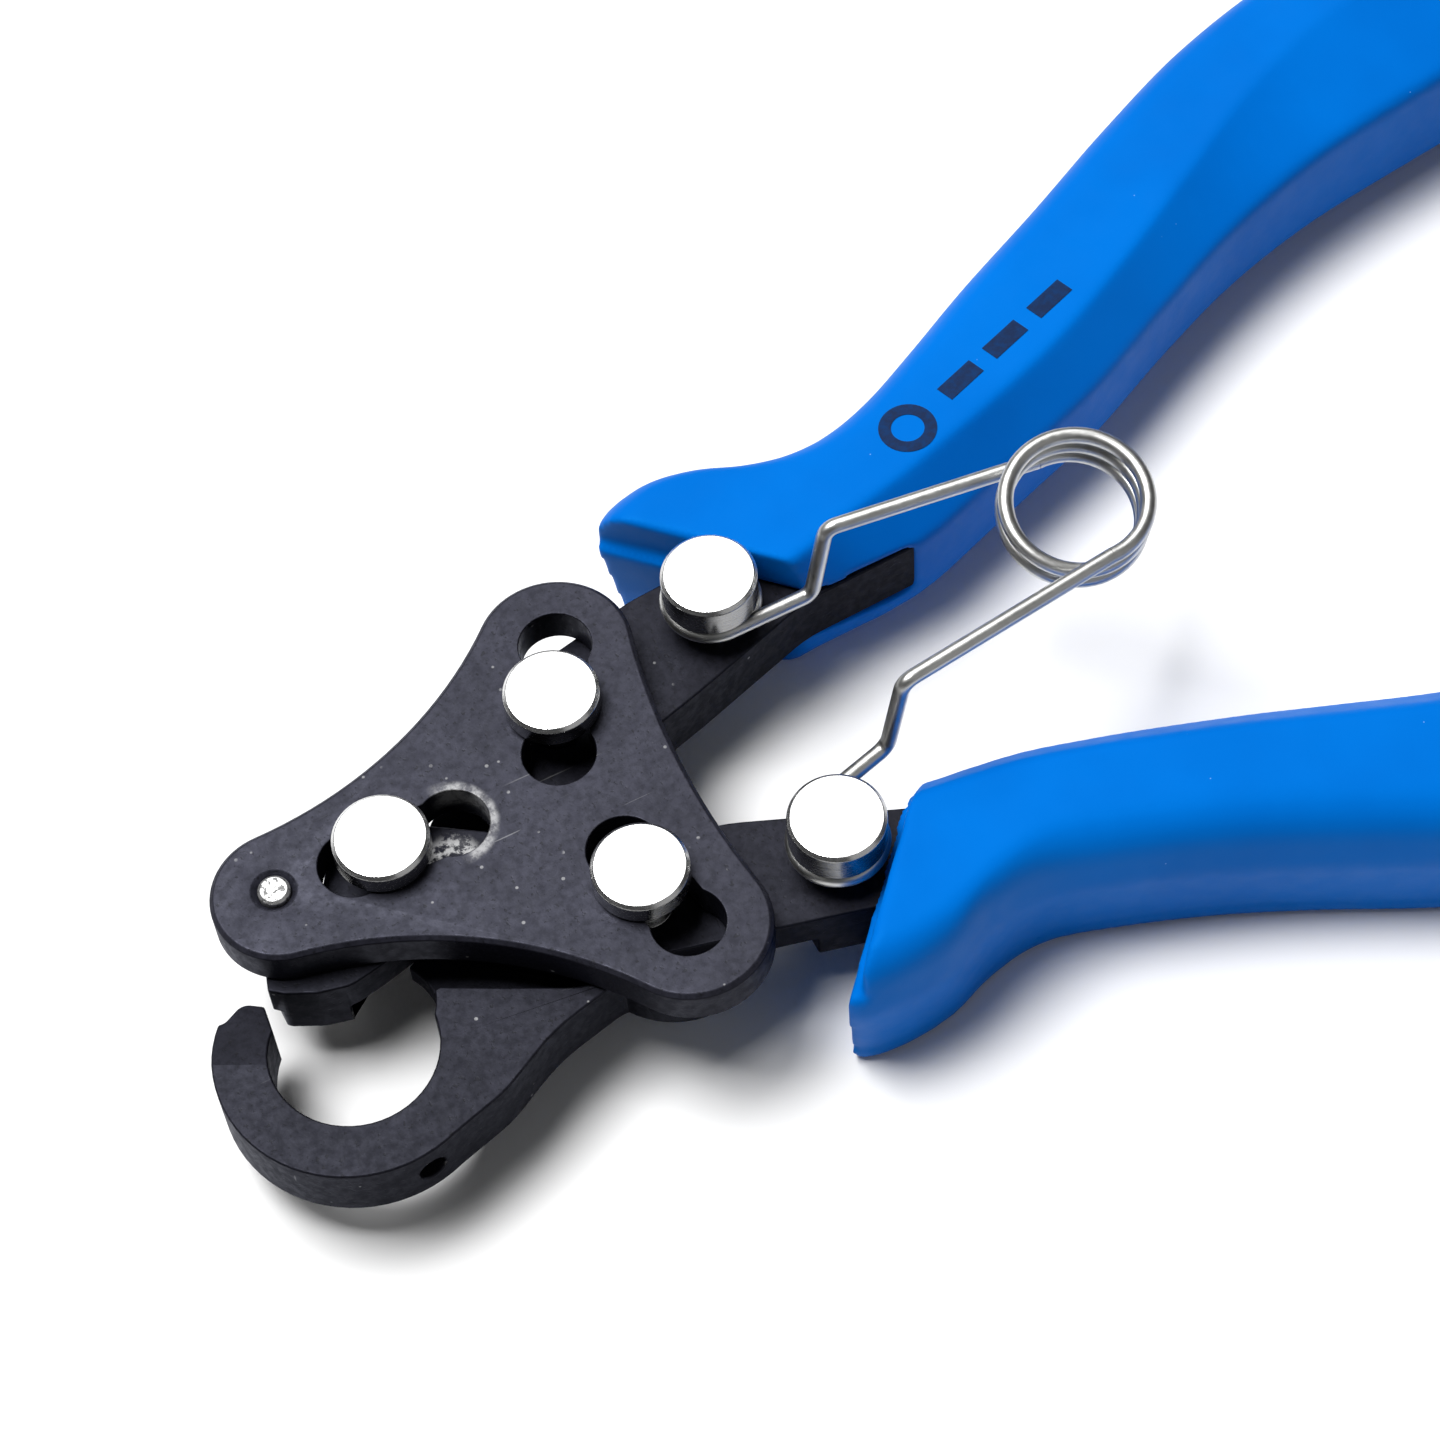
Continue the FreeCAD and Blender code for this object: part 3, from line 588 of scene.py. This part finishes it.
# plan polygons of the steel inside the grips, a little larger than the tangs
UPPER_TANG = [
    (56.0, 20.2), (53.3, 25.8), (40.0, 18.5), (28.0, 14.2), (11.0, 12.9), (2.0, 12.0), (2.0, -3.0),
    (30.6, -3.0), (30.6, 7.3), (42.3, 12.6),
]
LOWER_TANG = [
    (54.4, -24.1), (36.0, -16.9), (24.0, -12.5), (9.0, -6.0), (0.0, -4.0), (0.0, -15.0), (14.1, -17.2),
    (24.0, -19.9), (36.0, -22.7), (52.2, -29.8),
]
STEEL_LOW, STEEL_HIGH = 4.15, 9.25

# plan polygons of the open fronts, where the top of each grip is cut away down to the steel
UPPER_WINDOW = [(4.0, 25.5), (4.0, 2.0), (27.5, 2.0)]
LOWER_WINDOW = [(4.0, -4.0), (23.4, -9.0), (11.4, -22.4), (9.0, -30.0), (4.0, -30.0)]
LOWER_WINDOW_FLOOR = 9.6
ABOVE = 16.0

upper_grip = loft("upper_grip_moulding", UPPER, BLUE)
carve(upper_grip, prism(UPPER_WINDOW, STEEL_HIGH, ABOVE))
carve(upper_grip, prism(UPPER_TANG, STEEL_LOW, STEEL_HIGH))
mould(upper_grip)

lower_grip = loft("lower_grip_moulding", LOWER, BLUE)
carve(lower_grip, prism(LOWER_WINDOW, LOWER_WINDOW_FLOOR, ABOVE))
carve(lower_grip, prism(LOWER_TANG, STEEL_LOW, STEEL_HIGH))
mould(lower_grip)


# ------------------------------------------------------------------ printed mark on the upper grip
# the mark's line runs between two plan points; the ring and dashes are millimetres along it
MARK_START, MARK_END = Vector((31.7, 13.25)), Vector((49.2, 19.6))
RING_MIDDLE, RING_OUTER, RING_INNER = 2.5, 2.1, 1.2
RING_STEPS = 40
DASHES = [(6.4, 9.8), (11.2, 14.6), (16.0, 19.4)]
DASH_HALF_WIDTH = 0.72
DASH_STEPS = 8
INK_LIFT, INK_DEPTH = 0.03 * MM, 0.02 * MM
WELL_ABOVE = 30.0


def ring_point(radius, index):
    """A corner of the ring, as (along, across)."""
    turn = 2 * math.pi * index / RING_STEPS
    return RING_MIDDLE + radius * math.cos(turn), radius * math.sin(turn)


def printed_mark():
    """A plain ring and three dashes where the size would be printed, laid on the grip's top."""
    along = (MARK_END - MARK_START).normalized()
    across = Vector((-along.y, along.x))
    shapes = []
    for index in range(RING_STEPS):
        shapes.append([ring_point(RING_OUTER, index), ring_point(RING_OUTER, index + 1),
                       ring_point(RING_INNER, index + 1), ring_point(RING_INNER, index)])
    half = DASH_HALF_WIDTH
    for first, last in DASHES:
        for index in range(DASH_STEPS):
            u = first + (last - first) * index / DASH_STEPS
            v = first + (last - first) * (index + 1) / DASH_STEPS
            shapes.append([(u, -half), (v, -half), (v, half), (u, half)])
    tree = BVHTree.FromObject(upper_grip, bpy.context.evaluated_depsgraph_get())
    work = bmesh.new()
    for shape in shapes:
        verts = []
        for u, v in shape:
            plan = MARK_START + along * u + across * v
            hit = tree.ray_cast(at(plan.x, plan.y, WELL_ABOVE), Vector((0, 0, -1)))[0]
            verts.append(work.verts.new(hit + Vector((0, 0, INK_LIFT))))
        work.faces.new(verts)
    bmesh.ops.remove_doubles(work, verts=work.verts, dist=0.001 * MM)
    bmesh.ops.recalc_face_normals(work, faces=work.faces)
    top = work.faces[:]
    made = bmesh.ops.extrude_face_region(work, geom=top)
    for vertex in (item for item in made["geom"] if isinstance(item, bmesh.types.BMVert)):
        vertex.co.z += INK_DEPTH
    bmesh.ops.recalc_face_normals(work, faces=work.faces)
    mesh = bpy.data.meshes.new("size_mark_print")
    work.to_mesh(mesh)
    work.free()
    return new_object("size_mark_print", mesh, INK)


mark = printed_mark()
GRIPS = [(upper_grip, "upper_grip", "ring_side"), (lower_grip, "lower_grip", "anvil_side")]
for piece, node, body in GRIPS:
    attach(piece, body)
    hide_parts(node)
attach(mark, "ring_side")


# ------------------------------------------------------------------ return spring
# millimetres from the guide plate's centre; the eyes lie under the posts' heads
WIRE_RADIUS = 0.57
EYE_RADIUS = 3.03
EYE_LEVEL = 11.4
EYE_SWEEP = 335
EYE_STEPS = 60
COIL = Vector((39.3, -0.4, 18.1))
COIL_RADIUS = 4.86
COIL_TURNS = 2.5
COIL_PITCH = 1.6
COIL_STEPS = 160
COIL_TILT = Matrix.Rotation(math.radians(11.8), 3, "X")
BEND_RADIUS = 1.0
UPPER_POST, LOWER_POST = (15.7, 8.75), (14.7, -12.5)
UPPER_BEND, UPPER_STEP = (22.1, 5.8, EYE_LEVEL), (23.8, 6.7)
LOWER_BEND, LOWER_STEP = (21.0, -7.6, EYE_LEVEL), (22.2, -7.8)


def round_corners(points, radius, steps=7):
    """The same polyline with each inner corner replaced by an arc."""
    out = [Vector(points[0])]
    for before, here, after in zip(points, points[1:], points[2:]):
        here = Vector(here)
        back = (Vector(before) - here).normalized()
        ahead = (Vector(after) - here).normalized()
        half = back.angle(ahead) / 2
        run = radius / math.tan(half)
        centre = here + (back + ahead).normalized() * (radius / math.sin(half))
        first = here + back * run - centre
        last = here + ahead * run - centre
        turn = first.rotation_difference(last)
        for step in range(steps + 1):
            part = turn.copy()
            part.angle = turn.angle * step / steps
            out.append(centre + part @ first)
    out.append(Vector(points[-1]))
    return out


def wire(name, points):
    """A round wire along the points, with closed ends."""
    curve = bpy.data.curves.new(name, "CURVE")
    curve.dimensions = "3D"
    curve.bevel_depth = WIRE_RADIUS * MM
    curve.bevel_resolution = 5
    curve.use_fill_caps = True
    spline = curve.splines.new("POLY")
    spline.points.add(len(points) - 1)
    for slot, point in zip(spline.points, points):
        slot.co = (*at(*point), 1.0)
    holder = bpy.data.objects.new(name, curve)
    bpy.context.scene.collection.objects.link(holder)
    bpy.context.view_layer.update()
    graph = bpy.context.evaluated_depsgraph_get()
    mesh = bpy.data.meshes.new_from_object(holder.evaluated_get(graph))
    bpy.data.objects.remove(holder)
    piece = new_object(name, mesh, WIRE)
    shade(piece, 50)
    return piece


def circle_points(centre, radius, first, last, low, high, steps):
    """Points round a centre from one angle to another, rising evenly from low to high."""
    points = []
    for step in range(steps + 1):
        share = step / steps
        angle = math.radians(first + (last - first) * share)
        points.append((centre[0] + radius * math.cos(angle), centre[1] + radius * math.sin(angle),
                       low + (high - low) * share))
    return points


def heading(start, end):
    """The plan direction from start to end, in degrees."""
    return math.degrees(math.atan2(end[1] - start[1], end[0] - start[0]))


def arm_points(post, side, bend, step, coil_end):
    """An eye round the post, then the wire's run over the bend and the step to the coil's end."""
    leave = heading((post[0], post[1] - side * EYE_RADIUS), bend) - side * 90
    eye = circle_points(post, EYE_RADIUS, leave - side * EYE_SWEEP, leave, EYE_LEVEL, EYE_LEVEL, EYE_STEPS)
    run = round_corners([eye[-1], bend, (*step, coil_end.z), coil_end], BEND_RADIUS)
    return eye[:-1] + [tuple(point) for point in run]


# the winding is tilted so that its two arms come off at nearly the same level
rise = COIL_TURNS * COIL_PITCH
upright = circle_points((0, 0), COIL_RADIUS, 90, 90 - 360 * COIL_TURNS, -rise / 2, rise / 2, COIL_STEPS)
coil = [COIL + COIL_TILT @ Vector(point) for point in upright]
upper_points = arm_points(UPPER_POST, 1, UPPER_BEND, UPPER_STEP, coil[0])
lower_points = arm_points(LOWER_POST, -1, LOWER_BEND, LOWER_STEP, coil[-1])
upper_arm = wire("return_spring_upper_arm", upper_points)
lower_arm = wire("return_spring_lower_arm", lower_points)
winding = wire("return_spring_coil", coil)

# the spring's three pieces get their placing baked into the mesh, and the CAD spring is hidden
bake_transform(upper_arm)
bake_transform(lower_arm)
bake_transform(winding)
for piece in (upper_arm, lower_arm, winding):
    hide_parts("return_spring")


# ------------------------------------------------------------------ floor, light and camera
TABLE_HALF = 1.5
TABLE_GAP = 0.02 * MM


def floor():
    nodes = Nodes("white_table")
    cloud = nodes.ramp(nodes.noise(9, 2), 0.3, 0.7)
    nodes.link(nodes.mix(cloud, grey(0.86), grey(0.88)), nodes.shader.inputs["Base Color"])
    nodes.shader.inputs["Roughness"].default_value = 0.75
    nodes.shader.inputs["Specular IOR Level"].default_value = 0.15
    mesh = bpy.data.meshes.new("table")
    half = TABLE_HALF
    corners = [(-half, -half, 0), (half, -half, 0), (half, half, 0), (-half, half, 0)]
    mesh.from_pydata(corners, [], [(0, 1, 2, 3)])
    table = new_object("table", mesh, nodes.material)
    table.location.z = GROUND - TABLE_GAP


def area_light(name, place, target, wide, high, power):
    """A rectangular light, wide by high metres, of a power in watts."""
    light = bpy.data.lights.new(name, "AREA")
    light.shape = "RECTANGLE"
    light.size = wide
    light.size_y = high
    light.energy = power
    lamp = bpy.data.objects.new(name, light)
    bpy.context.scene.collection.objects.link(lamp)
    lamp.location = place
    lamp.rotation_euler = (Vector(target) - Vector(place)).to_track_quat("-Z", "Y").to_euler()


# the camera: where it stands, the plan direction it faces, how far it looks down and how far it rolls
EYE = (-40.9, -131.0, 246.3)
FACING = (0.3746, 0.9272, 0.0)
LOOK_DOWN = 59.05
ROLL = 5.2
FOCAL_LENGTH = 100.0


def camera():
    look = Vector(FACING)
    rise = math.radians(LOOK_DOWN)
    roll = math.radians(ROLL)
    forward = look * math.cos(rise) - Vector((0, 0, 1)) * math.sin(rise)
    right = Vector((look.y, -look.x, 0))
    up = right.cross(forward)
    turned_right = right * math.cos(roll) - up * math.sin(roll)
    turned_up = right * math.sin(roll) + up * math.cos(roll)
    data = bpy.data.cameras.new("camera")
    data.lens = FOCAL_LENGTH
    data.sensor_width = 36.0
    data.clip_start = 0.01
    eye = bpy.data.objects.new("camera", data)
    bpy.context.scene.collection.objects.link(eye)
    axes = Matrix((turned_right, turned_up, -forward)).transposed().to_4x4()
    eye.matrix_world = Matrix.Translation(at(*EYE)) @ axes
    bpy.context.scene.camera = eye


floor()
middle = at(20, 0, 8)
area_light("key", at(-170, 185, 700), middle, 0.36, 0.36, 7.8)
area_light("back", at(150, 420, 620), middle, 0.5, 0.4, 1.6)
area_light("fill", at(200, -420, 320), middle, 0.5, 0.5, 0.25)
world = bpy.data.worlds.new("studio")
world.use_nodes = True
world.node_tree.nodes["Background"].inputs["Color"].default_value = (1.0, 1.0, 1.0, 1)
world.node_tree.nodes["Background"].inputs["Strength"].default_value = 0.06
bpy.context.scene.world = world
bpy.context.scene.view_settings.view_transform = "Standard"
camera()
